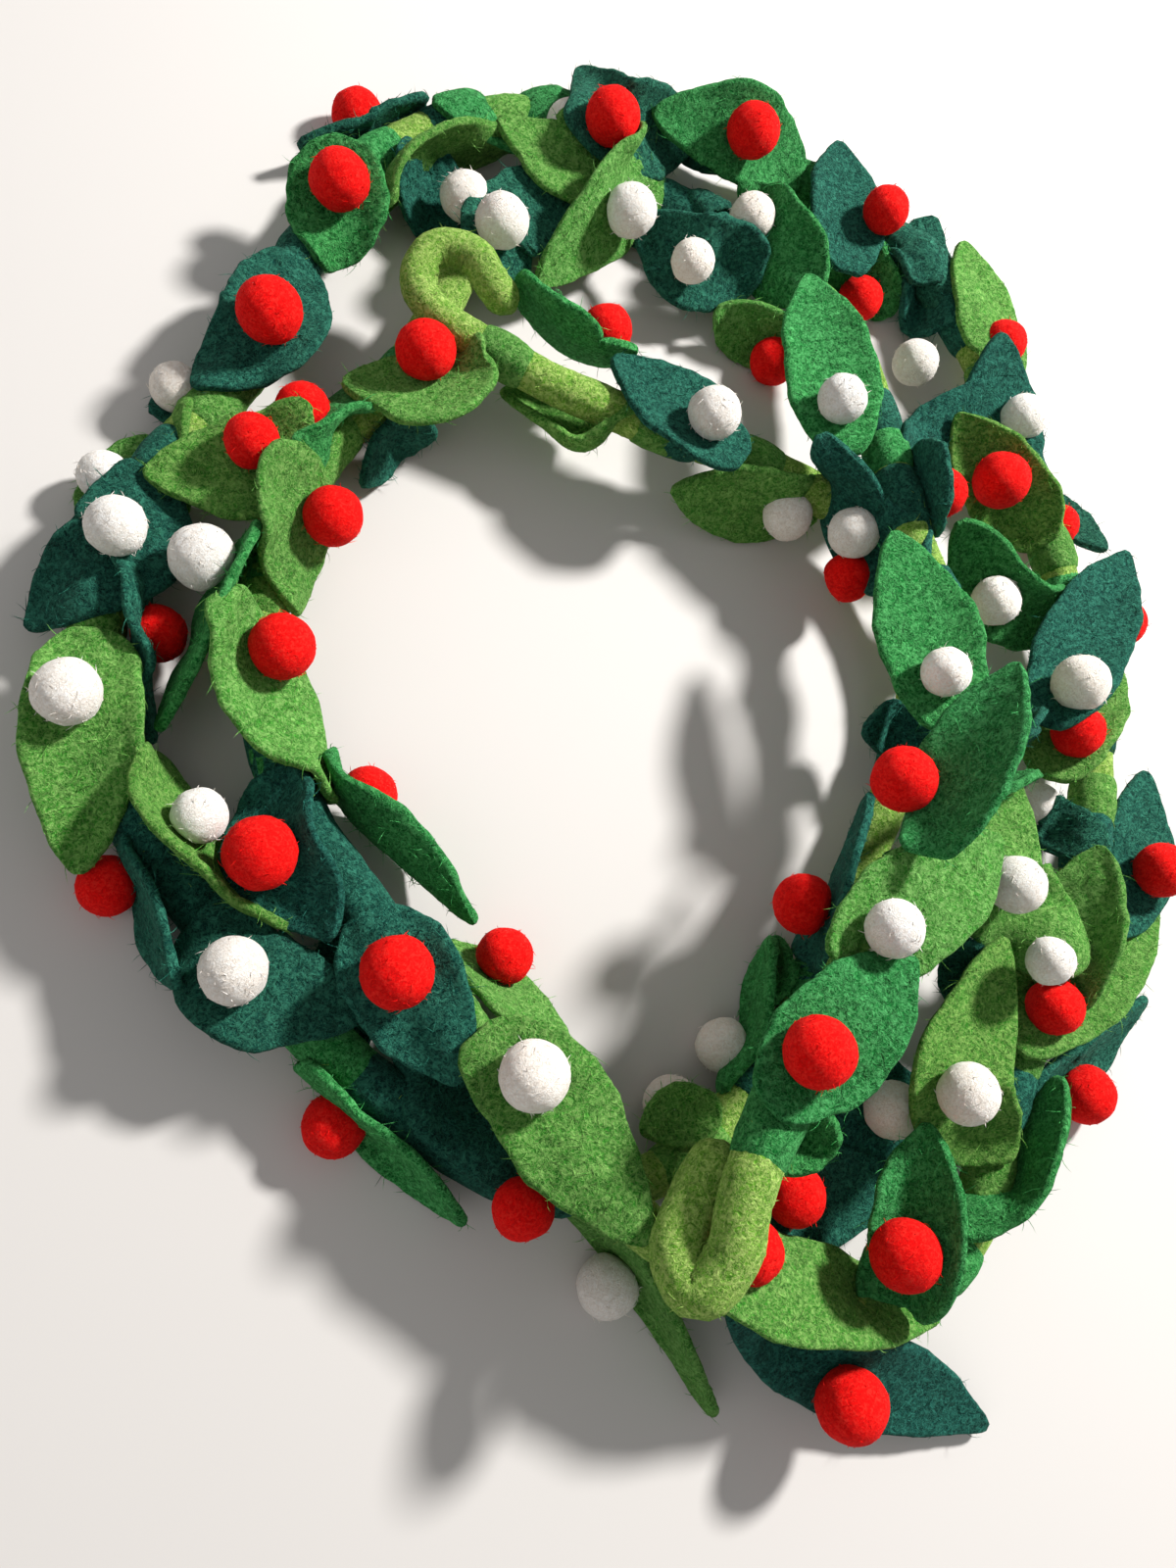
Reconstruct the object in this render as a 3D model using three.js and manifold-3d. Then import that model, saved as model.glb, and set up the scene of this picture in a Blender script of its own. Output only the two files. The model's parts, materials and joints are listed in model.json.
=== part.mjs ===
// A wool felt leaf garland: a felted rope with a loop at each end, and felt leaves sewn along it, most with
// a felt berry. It lies in two and a half turns, end B on top of the pile and end A at the top left.
// Millimetres, +Z up off the mat, +Y away from the viewer. The origin is under the middle of the whole heap.
import * as THREE from 'three';
import { mergeVertices } from 'three/addons/utils/BufferGeometryUtils.js';
import Module from 'manifold-3d';

const ROPE_DIAMETER = 15;
const LOOP_B_DIAMETER = 16;
const LOOP_A_DIAMETER = 13;
const LEAF_WIDTH = 38;
const LEAF_BACK = 20; // how far a leaf runs back past its berry when it would be bent sharply under it
const LEAF_NECK = 30; // a leaf with more than this between the rope and its berry is free to bend there
const LEAF_BASE_WIDTH = 11;
const LEAF_TIP_WIDTH = 2;
const FELT = 3.2;
const BERRY_SUNK = 2; // how far a berry's stitch pulls it into the felt
const GAP = 1; // clearance between two pieces
const SMOOTH = 0.6; // corners that stand out less than this are dropped
const TRIM = 0.02; // the same, after the last cut
const WELD = 0.001; // corners closer than this are one
const DRAPE = 1.6; // how far a leaf lies off the rope or the berry it is laid over
const OWN_STRETCH = 0.5; // a leaf lies over the rope this many route points either way from its seam

const ROPE_SIDES = 8;
const ROPE_STEPS = 74;
const LOOP_STEPS = 14;
const LOOP_B_POINTS = 6; // how many points of the route each loop takes up
const LOOP_A_POINTS = 7;
const LOOP_LAP = 0.1; // how far the rope runs on into its loops
const ROPE_BALLS = 520;
const LEAF_STEPS = 5; // along a leaf
const LEAF_ACROSS = 3;
const BERRY_SIDES = 8;
const BERRY_RINGS = 5;
const BERRY_FULLNESS = 1.05; // a coarse ball is built this much wider, so that it holds a round one's volume

// Places are read off a grid 35 mm above the mat, as seen from the lens: a point that stands higher than the
// grid lies nearer to the lens than where it shows. place() takes [x, y on the grid, real height].
const LENS = new THREE.Vector3(-120, -114, 392);
const GRID_HEIGHT = 35;
const MIDDLE = new THREE.Vector3(21.6, 32.9, 0); // the grid point that is made the origin

function place([x, y, z]) {
  const shown = new THREE.Vector3(x, y, GRID_HEIGHT).sub(LENS);
  return shown.multiplyScalar((LENS.z - z) / (LENS.z - GRID_HEIGHT)).add(LENS).sub(MIDDLE);
}

// The rope's route from end B to end A. A leaf's `at` is a place along it, counted in these points: 10.5 is
// midway from 10 to 11.
const ROUTE = [
  // 0: end B's loop, the rope's end sewn back at its neck
  [32, -127, 58], [21, -142, 54], [14, -159, 57], [20, -170, 62], [31.5, -161, 67], [37.5, -142, 70],
  [49, -118, 68],
  // 7: up the right side, on top of the pile
  [70, -86, 66], [94, -54, 64], [118, -22, 62], [130, 18, 58], [127, 58, 53], [114, 96, 47], [105, 134, 40],
  [95, 170, 32],
  // 15: along the top, inside
  [72, 196, 22], [38, 214, 16], [0, 224, 15], [-34, 212, 14], [-56, 186, 13], [-70, 152, 13],
  // 21: down the left, inside
  [-86, 118, 14], [-106, 92, 16], [-118, 58, 16], [-120, 18, 15], [-110, -20, 16], [-90, -52, 20],
  [-64, -82, 28], [-36, -114, 36], [0, -148, 40],
  // 30: round the bottom, outside
  [40, -172, 32], [84, -178, 21], [116, -156, 17], [132, -118, 18], [152, -78, 20],
  // 35: up the right side, outside
  [174, -36, 22], [186, 8, 22], [186, 52, 22], [178, 96, 22], [166, 142, 20], [150, 186, 17],
  [128, 220, 16], [94, 242, 15],
  // 43: along the top, outside
  [52, 250, 15], [8, 254, 15], [-38, 246, 14], [-78, 228, 14], [-104, 198, 14],
  // 48: down the left, outside
  [-120, 158, 14], [-134, 116, 14], [-156, 76, 14], [-168, 26, 14], [-154, -26, 14], [-128, -64, 14],
  [-96, -96, 14], [-62, -122, 14], [-24, -140, 14], [12, -134, 14],
  // 58: up the right side again, under the pile
  [42, -108, 14], [64, -76, 15], [82, -40, 15], [100, -4, 15], [112, 34, 16], [106, 72, 18],
  // 64: across to the left, and end A's loop, sewn back along the rope
  [86, 100, 22], [50, 115, 26], [12, 123, 30], [-26, 133, 33], [-50, 143, 34], [-69, 153, 34],
  [-77, 166, 35], [-71, 180, 38], [-58, 181, 40], [-50, 170, 40], [-42, 160, 38],
];

// One row for each leaf: the body it is part of (leaves pressed together are one body), where it is sewn
// to the rope, where its tip lies, where its berry sits (or would), how far outward of the midrib that is,
// its lean: how many degrees its face is turned out of the ring (or, below zero, into it), how many degrees
// it is cupped round its midrib, how far its outer half bows towards its berry, its green, its berry's
// colour and size.
const LEAF_COLUMNS = ['body', 'at', 'tip', 'berry', 'aside', 'lean', 'cup', 'bow', 'green', 'colour', 'size'];
const LEAVES = [
  // end B and up the right side, on top
  [1, 6.1, [103, -66, 76], [65, -99, 87], -3, 0, 30, 2, 'mid', 'red', 21],
  [2, 7.5, [142, -22, 64], [96, -57, 82], 0, 0, 30, 3, 'light', 'white', 18],
  [3, 9.0, [157, 47, 90], [104, -3, 78], -14, -62, 50, 2, 'mid', 'red', 21],
  [4, 10.1, [107, 95, 60], [125, 40, 70], 0, -15, 40, 2, 'mid', 'white', 17],
  [5, 11.3, [80, 133, 52], [90, 92, 36], 0, -70, 30, 0, 'dark', 'white', 19],
  [6, 12.3, [116, 130, 44], [130, 115, 46], 8, 75, 40, 0, 'dark', 'red', 19],
  [7, 12.8, [77, 203, 44], [89, 149, 56], 0, -15, 50, 2, 'mid', 'white', 18],
  [8, 14.7, [37, 181, 16], [60, 160, 9], 0, -70, 30, 2, 'light', 'red', 19],
  [9, 14.5, [58, 238, 22], [54, 225, 34], 0, -60, 40, 0, 'mid', 'white', 18],
  [10, 15.3, [4, 212, 22], [28, 198, 32], 0, -45, 50, 0, 'dark', 'white', 17],
  [11, 17.6, [-37, 172, 16], [-47, 198, 34], 0, 0, 50, 0, 'dark', 'white', 20],
  // down the left side, inside
  [12, 67.8, [-101, 120, 26], [-73, 138, 39], 9, 25, 40, 0, 'light', 'red', 21],
  [13, 20.8, [-141, 73, 26], [-113, 107, 24], 0, 75, 20, 0, 'mid', 'red', 19],
  [14, 22.1, [-113, 33, 12], [-101, 70, 30], -12, -45, 50, 0, 'light', 'red', 20],
  [15, 23.3, [-148, -8, 20], [-140, 50, 34], 0, 70, 20, 0, 'mid', 'white', 21],
  [16, 23.4, [-98, -28, 14], [-114, 23, 34], -8, -35, 30, 0, 'light', 'red', 21],
  [17, 24.8, [-91, -68, 26], [-116, -43, 40], 0, 35, 80, 0, 'dark', 'red', 22],
  [18, 24.9, [-50, -61, 20], [-85, -23, 18], 0, -94, 110, 0, 'mid', 'red', 19],
  [19, 26.1, [-53, -109, 30], [-74, -77, 44], 0, 15, 60, 0, 'dark', 'red', 22],
  [20, 26.8, [-18, -108, 46], [-41, -71, 14], 0, -60, 20, 0, 'light', 'red', 19],
  [20, 27.3, [4, -156, 46], [-31, -107, 54], 0, 0, 20, 0, 'light', 'white', 21],
  // round the bottom and up the right side, outside
  [21, 28.5, [25, -204, 8], [-8, -167, 9], 0, 80, 20, 0, 'light', 'white', 20],
  [22, 29.8, [102, -181, 27], [38, -159, 46], -3, -33, 20, 0, 'light', 'red', 20],
  [23, 29.6, [117, -213, 4], [70, -204, 26], 7, 20, 20, 0, 'dark', 'red', 23],
  [24, 58.1, [96, -142, 14], [54, -143, 26], 0, 0, 20, 0, 'dark', 'red', 20],
  [25, 31.0, [103, -121, 44], [92, -162, 50], -2, -50, 130, 0, 'mid', 'red', 22],
  [26, 31.7, [158, -106, 30], [130, -132, 28], 0, -70, 50, 0, 'mid', 'none', 20],
  [27, 32.5, [140, -58, 46], [120, -112, 52], 0, -10, 60, 0, 'light', 'white', 20],
  [28, 33.1, [198, -78, 16], [167, -112, 9], 0, 48, 20, 0, 'dark', 'red', 22],
  [29, 33.8, [186, -22, 38], [157, -62, 36], -5, -50, 70, 0, 'light', 'white', 19],
  [30, 33.5, [207, -44, 14], [158, -82, 34], 0, -20, 50, 0, 'light', 'red', 20],
  [31, 34.5, [210, 9, 18], [212, -30, 28], 4, 0, 20, 0, 'dark', 'red', 21],
  [29, 34.2, [151, 0, 46], [147, -39, 54], 0, -10, 30, 0, 'light', 'white', 20],
  [32, 35.7, [198, 60, 20], [181, 22, 38], 4, -30, 30, 0, 'light', 'red', 20],
  [33, 36.3, [215, 102, 38], [185, 42, 50], 4, -20, 70, 0, 'dark', 'white', 21],
  [34, 37.2, [137, 107, 42], [150, 72, 36], 0, -60, 100, 0, 'mid', 'white', 19],
  [35, 38.0, [140, 152, 40], [158, 125, 44], 0, -45, 100, 0, 'light', 'red', 22],
  [36, 38.9, [166, 195, 40], [172, 156, 32], 8, 0, 20, 0, 'dark', 'white', 19],
  [37, 39.6, [150, 236, 26], [166, 190, 26], 0, 0, 20, 0, 'light', 'red', 19],
  [38, 41.0, [80, 228, 18], [100, 197, 9], 0, -70, 30, 0, 'mid', 'red', 19],
  [39, 41.7, [95, 272, 28], [115, 243, 36], 16, 0, 40, 0, 'dark', 'red', 19],
  // along the top, outside
  [40, 42.4, [12, 264, 34], [56, 267, 44], 0, -35, 50, 0, 'mid', 'red', 21],
  [41, 43.4, [-18, 276, 24], [-4, 257, 42], 0, -40, 80, 0, 'dark', 'red', 21],
  [42, 44.0, [-50, 243, 28], [-18, 238, 36], 0, 0, 20, 0, 'light', 'none', 20],
  [42, 44.1, [-34, 173, 20], [3, 215, 34], 0, -50, 20, 0, 'light', 'white', 20],
  [43, 44.6, [-75, 241, 22], [-21, 248, 24], 0, 15, 20, 0, 'mid', 'white', 20],
  [44, 45.2, [-100, 173, 14], [-79, 206, 22], 0, -95, 60, 0, 'light', 'none', 19],
  [45, 45.7, [-121, 212, 14], [-101, 230, 9], 0, 75, 20, 0, 'dark', 'red', 20],
  // down the left side, outside
  [46, 46.6, [-110, 158, 10], [-106, 201, 37], 0, 0, 50, 0, 'mid', 'red', 21],
  [47, 47.8, [-146, 102, 8], [-126, 143, 38], 0, 0, 50, 0, 'dark', 'red', 22],
  [48, 21.9, [-160, 76, 26], [-128, 93, 38], 5, 0, 30, 0, 'light', 'red', 18],
  [49, 49.9, [-187, 20, 10], [-166, 57, 34], 3, 0, 20, 0, 'dark', 'white', 19],
  [49, 50.3, [-149, -12, 10], [-151, 23, 16], 0, -80, 20, 0, 'dark', 'red', 19],
  [50, 51.0, [-165, -53, 14], [-174, 2, 38], 4, 0, 90, 0, 'light', 'white', 20],
  [51, 51.8, [-102, -63, 24], [-134, -33, 32], 0, -60, 70, 0, 'light', 'white', 17],
  [52, 52.2, [-136, -83, 30], [-157, -55, 9], 0, 80, 20, 0, 'dark', 'red', 19],
  [52, 52.8, [-83, -91, 26], [-121, -78, 36], 0, 0, 20, 0, 'dark', 'white', 20],
  [53, 53.9, [-51, -149, 14], [-90, -121, 9], 0, 75, 50, 0, 'mid', 'red', 20],
  // up the right side below, and across to end A
  [54, 58.4, [50, -61, 18], [31, -97, 9], 0, -95, 30, 0, 'mid', 'white', 19],
  [55, 59.0, [90, -9, 40], [62, -50, 34], 0, -107, 10, 0, 'dark', 'red', 21],
  [56, 65.0, [17, 98, 20], [63, 95, 20], 0, -60, 30, 0, 'light', 'white', 19],
  [57, 65.8, [-5, 149, 40], [35, 133, 50], 0, 10, 30, 0, 'dark', 'white', 19],
  [58, 65.9, [-46, 128, 16], [-14, 120, 22], 0, 35, 130, 0, 'light', 'none', 19],
  [59, 73.0, [5, 153, 38], [-7, 160, 34], 0, -70, 20, 0, 'mid', 'red', 19],
].map((row) => Object.fromEntries(row.map((value, i) => [LEAF_COLUMNS[i], value])));

const wasm = await Module();
wasm.setup();

function solid(geometry) {
  geometry.deleteAttribute('normal');
  geometry.deleteAttribute('uv');
  const merged = mergeVertices(geometry, WELD);
  const triVerts = new Uint32Array(merged.index.array);
  const vertProperties = merged.attributes.position.array;
  return new wasm.Manifold(new wasm.Mesh({ numProp: 3, vertProperties, triVerts }));
}

function geometryOf(manifold) {
  const { vertProperties, triVerts } = manifold.getMesh();
  const geometry = new THREE.BufferGeometry();
  geometry.setAttribute('position', new THREE.BufferAttribute(new Float32Array(vertProperties), 3));
  geometry.setIndex(new THREE.BufferAttribute(new Uint32Array(triVerts), 1));
  geometry.computeVertexNormals();
  return geometry;
}

// The rope

const ropeLine = new THREE.CatmullRomCurve3(ROUTE.map(place), false, 'centripetal');
const ropePoint = (at) => ropeLine.getPoint(at / (ROUTE.length - 1));

// A stretch of the rope's line between two route points, as a curve of its own.
function ropeStretch(from, to, samples) {
  const points = [];
  for (let i = 0; i <= samples; i++) points.push(ropePoint(from + ((to - from) * i) / samples));
  return new THREE.CatmullRomCurve3(points);
}

function ropeTube(from, to, steps, diameter) {
  const section = new THREE.Shape();
  section.absarc(0, 0, diameter / 2, 0, 2 * Math.PI);
  return solid(
    new THREE.ExtrudeGeometry(section, {
      extrudePath: ropeStretch(from, to, 3 * steps),
      steps,
      curveSegments: ROPE_SIDES / 2,
    }),
  );
}

function rope(grow = 0) {
  const last = ROUTE.length - 1;
  const loopB = ropeTube(0, LOOP_B_POINTS, LOOP_STEPS, LOOP_B_DIAMETER + 2 * grow);
  const loopA = ropeTube(last - LOOP_A_POINTS, last, LOOP_STEPS, LOOP_A_DIAMETER + 2 * grow);
  const from = LOOP_B_POINTS - LOOP_LAP;
  const to = last - LOOP_A_POINTS + LOOP_LAP;
  return ropeTube(from, to, ROPE_STEPS, ROPE_DIAMETER + 2 * grow).add(loopB).add(loopA);
}

// A leaf

// How wide a leaf is at a share of its length: a narrow sewn base, a full middle and a pointed tip.
function leafWidth(share) {
  const swell = Math.sin(Math.PI * Math.pow(share, 0.82)) ** 0.8;
  const ends = THREE.MathUtils.lerp(LEAF_BASE_WIDTH, LEAF_TIP_WIDTH, share);
  return ends + (LEAF_WIDTH - ends) * swell;
}

// What leaves are laid over: the rope, as a row of balls, and the berries.
const ropeBalls = Array.from({ length: ROPE_BALLS + 1 }, (_, i) => {
  const at = ropeLine.getUtoTmapping(i / ROPE_BALLS) * (ROUTE.length - 1);
  return { centre: ropePoint(at), reach: ROPE_DIAMETER / 2, at };
});
const berryBalls = LEAVES.filter((leaf) => leaf.colour !== 'none').map((leaf) => {
  return { centre: place(leaf.berry), reach: leaf.size / 2, leaf };
});

// Moves a point of a leaf along the leaf's face until it is clear of all that.
function drape(point, { face, seat, leaf }) {
  for (const ball of [...ropeBalls, ...berryBalls]) {
    const need = ball.reach + FELT / 2 + DRAPE;
    if (ball.leaf === leaf || point.distanceTo(ball.centre) > need) continue;
    const off = point.clone().sub(ball.centre);
    const own = Math.abs(ball.at - leaf.at) < OWN_STRETCH; // never true of a berry, which has no `at`
    const side = own || seat.clone().sub(ball.centre).dot(face) > 0 ? 1 : -1;
    const b = off.dot(face) * side;
    point.addScaledVector(face, side * (Math.sqrt(b * b + need * need - off.lengthSq()) - b));
  }
  return point;
}

// The midrib's line and the way the leaf faces at its berry, from the row's three places.
function leafLine(leaf) {
  const tip = place(leaf.tip);
  const berry = place(leaf.berry);
  const heart = ropePoint(leaf.at);
  const away = berry.clone().lerp(tip, 0.5).sub(heart).normalize();
  const root = heart.addScaledVector(away, ROPE_DIAMETER / 2 + FELT / 2 + DRAPE);
  const axis = tip.clone().sub(root).normalize();
  const face = new THREE.Vector3(0, 0, 1).addScaledVector(axis, -axis.z).normalize();
  face.applyAxisAngle(axis, THREE.MathUtils.degToRad(leaf.lean));
  const inward = new THREE.Vector3().crossVectors(face, axis);
  const seat = berry.clone().addScaledVector(face, -(leaf.size + FELT) / 2 + BERRY_SUNK);
  seat.addScaledVector(inward, leaf.aside);
  const onward = tip.clone().sub(seat).normalize();
  const neck = seat.clone().sub(root);
  const bent = neck.angleTo(onward) > Math.PI / 3;
  if (bent && neck.length() < LEAF_NECK) root.copy(seat).addScaledVector(onward, -LEAF_BACK);
  const outer = seat.clone().lerp(tip, 0.5).addScaledVector(face, leaf.bow);
  const midrib = new THREE.CatmullRomCurve3([root, seat, outer, tip], false, 'centripetal');
  return { leaf, midrib, face, seat, berry };
}

// Rows of [point on the face, point on the back] across the leaf, from its base to its tip.
function leafRows(line, cup, grow) {
  const { midrib, face } = line;
  const normal = face.clone();
  const bend = THREE.MathUtils.degToRad(cup) / LEAF_WIDTH;
  const half = FELT / 2 + grow;
  const middles = [];
  for (let i = 0; i <= LEAF_STEPS; i++) {
    const share = i / LEAF_STEPS;
    const centre = midrib.getPointAt(share);
    const along = midrib.getTangentAt(share);
    normal.addScaledVector(along, -normal.dot(along)).normalize();
    const across = new THREE.Vector3().crossVectors(normal, along);
    const row = [];
    for (let j = 0; j <= LEAF_ACROSS; j++) {
      const y = (j / LEAF_ACROSS - 0.5) * (leafWidth(share) + 2 * grow);
      const lift = bend ? (1 - Math.cos(y * bend)) / bend : 0;
      const reach = bend ? Math.sin(y * bend) / bend : y;
      const middle = centre.clone().addScaledVector(across, reach).addScaledVector(normal, lift);
      row.push(drape(middle, line));
    }
    middles.push(row);
  }
  const last = LEAF_ACROSS;
  return middles.map((row, i) => row.map((middle, j) => {
    const along = middles[Math.min(i + 1, LEAF_STEPS)][j].clone().sub(middles[Math.max(i - 1, 0)][j]);
    const across = row[Math.min(j + 1, last)].clone().sub(row[Math.max(j - 1, 0)]);
    const out = new THREE.Vector3().crossVectors(along, across).normalize();
    return [1, -1].map((side) => {
      const point = middle.clone().addScaledVector(out, side * half);
      point.z = Math.max(point.z, side * out.z > 0 ? 2 * half * Math.abs(out.z) - grow : -grow);
      return point;
    });
  }));
}

// The closed skin round those rows.
function leafSolid(line, cup, grow = 0) {
  const rows = leafRows(line, cup, grow);
  const corners = [];
  const quad = (a, b, c, d) => corners.push(a, b, c, a, c, d);
  for (let i = 0; i < LEAF_STEPS; i++) {
    for (let j = 0; j < LEAF_ACROSS; j++) {
      const [a, b, c, d] = [rows[i][j], rows[i + 1][j], rows[i + 1][j + 1], rows[i][j + 1]];
      quad(a[0], b[0], c[0], d[0]);
      quad(d[1], c[1], b[1], a[1]);
    }
    const [left, leftNext] = [rows[i][0], rows[i + 1][0]];
    quad(left[1], leftNext[1], leftNext[0], left[0]);
    const [right, rightNext] = [rows[i][LEAF_ACROSS], rows[i + 1][LEAF_ACROSS]];
    quad(right[0], rightNext[0], rightNext[1], right[1]);
  }
  for (let j = 0; j < LEAF_ACROSS; j++) {
    const [a, b] = [rows[0][j], rows[0][j + 1]];
    quad(a[0], b[0], b[1], a[1]);
    const [c, d] = [rows[LEAF_STEPS][j], rows[LEAF_STEPS][j + 1]];
    quad(c[1], d[1], d[0], c[0]);
  }
  return solid(new THREE.BufferGeometry().setFromPoints(corners));
}

// A berry

function berrySolid(leaf, centre, grow = 0) {
  const ball = new THREE.SphereGeometry((leaf.size / 2) * BERRY_FULLNESS + grow, BERRY_SIDES, BERRY_RINGS);
  ball.rotateX(leaf.at);
  return solid(ball.translate(centre.x, centre.y, centre.z));
}

function sprig(leaf, grow = 0) {
  const line = leafLine(leaf);
  const blade = leafSolid(line, leaf.cup, grow);
  return leaf.colour === 'none' ? blade : blade.add(berrySolid(leaf, line.berry, grow));
}

// The garland. What lies higher keeps its shape, and what lies under it is pressed back by the gap.

const felt = (color) => new THREE.MeshStandardMaterial({ color, roughness: 0.95, metalness: 0 });
const GREENS = { light: felt(0x5a9a3c), mid: felt(0x1f8a45), dark: felt(0x0e4f46) };
const ROPE_GREEN = felt(0x7fb04a);

const largest = (shape) => shape.decompose().sort((a, b) => b.volume() - a.volume())[0];

// A shape with others taken out of it, in one piece and without needless corners.
function pressed(shape, others, tolerance) {
  const left = others.reduce((rest, other) => rest.subtract(other), shape);
  return largest(solid(geometryOf(largest(left).asOriginal().simplify(tolerance))));
}

const garland = new THREE.Group();

function add(name, shape, material) {
  const mesh = new THREE.Mesh(geometryOf(shape), material);
  mesh.name = name;
  garland.add(mesh);
}

const bodies = new Map();
for (const leaf of LEAVES) bodies.set(leaf.body, [...(bodies.get(leaf.body) ?? []), leaf]);
const height = (leaves) => Math.max(...leaves.map((leaf) => leaf.berry[2]));
const downwards = [...bodies].sort((a, b) => height(b[1]) - height(a[1]));

const wholeRope = rope().trimByPlane([0, 0, 1], 0);
add('rope', wholeRope, ROPE_GREEN);
const settled = [wholeRope];
const around = [rope(GAP)];
for (const [number, leaves] of downwards) {
  const whole = wasm.Manifold.union(leaves.map((leaf) => sprig(leaf))).trimByPlane([0, 0, 1], 0);
  const shape = pressed(pressed(whole, around, SMOOTH), settled, TRIM);
  add(`leaf_${String(number).padStart(2, '0')}`, shape, GREENS[leaves[0].green]);
  settled.push(shape, shape.translate([0, 0, -GAP / 2]));
  around.push(wasm.Manifold.union(leaves.map((leaf) => sprig(leaf, GAP))));
}

export default garland;
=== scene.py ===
# %% [markdown]
# # A felted leaf garland
#
# The real thing is a finger-thick rope of felted wool, about three metres long, with a loop at each end.
# Leaves cut from thick felt in three greens are sewn along it, and most of them carry a felt ball, red or
# white. It lies on a floor in a loose heap of two and a half turns. This notebook dresses the plain solids
# of that heap: the rope, every leaf and every berry are made again here with the shape, the soft edges and
# the stray fibres of real felt.
#
# First the plain solids are loaded. They are the measure for all that follows.

# %% Load the solids
import json
import math
import random

import bpy
import numpy as np
from mathutils import Matrix, Vector, noise

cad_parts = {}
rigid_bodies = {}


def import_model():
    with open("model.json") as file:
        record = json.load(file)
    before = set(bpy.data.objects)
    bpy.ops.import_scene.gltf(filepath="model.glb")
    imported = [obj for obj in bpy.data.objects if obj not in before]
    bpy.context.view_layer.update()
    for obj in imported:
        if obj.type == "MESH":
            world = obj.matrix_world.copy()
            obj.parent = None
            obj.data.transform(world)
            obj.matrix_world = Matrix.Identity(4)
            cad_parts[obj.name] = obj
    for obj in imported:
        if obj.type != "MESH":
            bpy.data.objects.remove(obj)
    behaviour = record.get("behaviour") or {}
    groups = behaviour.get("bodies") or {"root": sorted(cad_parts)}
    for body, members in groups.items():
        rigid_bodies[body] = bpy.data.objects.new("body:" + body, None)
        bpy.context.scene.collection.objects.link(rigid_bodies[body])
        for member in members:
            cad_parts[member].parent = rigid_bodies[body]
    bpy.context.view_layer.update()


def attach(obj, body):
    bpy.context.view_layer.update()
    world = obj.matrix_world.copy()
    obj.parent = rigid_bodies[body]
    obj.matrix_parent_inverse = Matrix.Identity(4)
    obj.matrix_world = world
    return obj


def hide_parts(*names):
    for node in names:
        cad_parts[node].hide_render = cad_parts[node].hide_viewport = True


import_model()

MM = 0.001  # the tables below are in millimetres, and the scene is in metres
dice = np.random.default_rng(7)

# %% [markdown]
# ## The camera
#
# The photograph looks down on the heap from close by, a little from the left and from below it. A camera
# can be turned by hand until the picture fits, but here the eye's place is known from the same grid that
# all places below are read from, so it is set straight away.

# %% Place the camera
lens = bpy.data.cameras.new("camera")
lens.lens = 27
lens.sensor_width = 36
camera = bpy.data.objects.new("camera", lens)
camera.location = (-0.1419, -0.14739, 0.392)
camera.rotation_euler = [math.radians(angle) for angle in (15.124, -16.5644, 0)]
bpy.context.collection.objects.link(camera)
bpy.context.scene.camera = camera
print("the camera stands", round(camera.location.z, 3), "m above the floor")

# %% [markdown]
# ## Where everything lies
#
# Two tables say where the rope runs and where each leaf is. Every place in them is [x, y, z]: x and y are
# read off a grid 35 mm above the floor, as the camera sees it, and z is the real height. A point that is
# higher than the grid lies nearer to the lens than where it shows, so `place` slides it along its line of
# sight. That keeps each piece where the photograph shows it, whatever its height.

# %% Turn a grid place into a real one
LENS = np.array([-120.0, -114.0, 392.0])
GRID_HEIGHT = 35.0
MIDDLE = np.array([21.6, 32.9, 0.0])


def place(grid):
    """The real place, in millimetres, of a point that shows at this place on the grid."""
    shown = np.array([grid[0], grid[1], GRID_HEIGHT]) - LENS
    return shown * (LENS[2] - grid[2]) / (LENS[2] - GRID_HEIGHT) + LENS - MIDDLE


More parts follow.
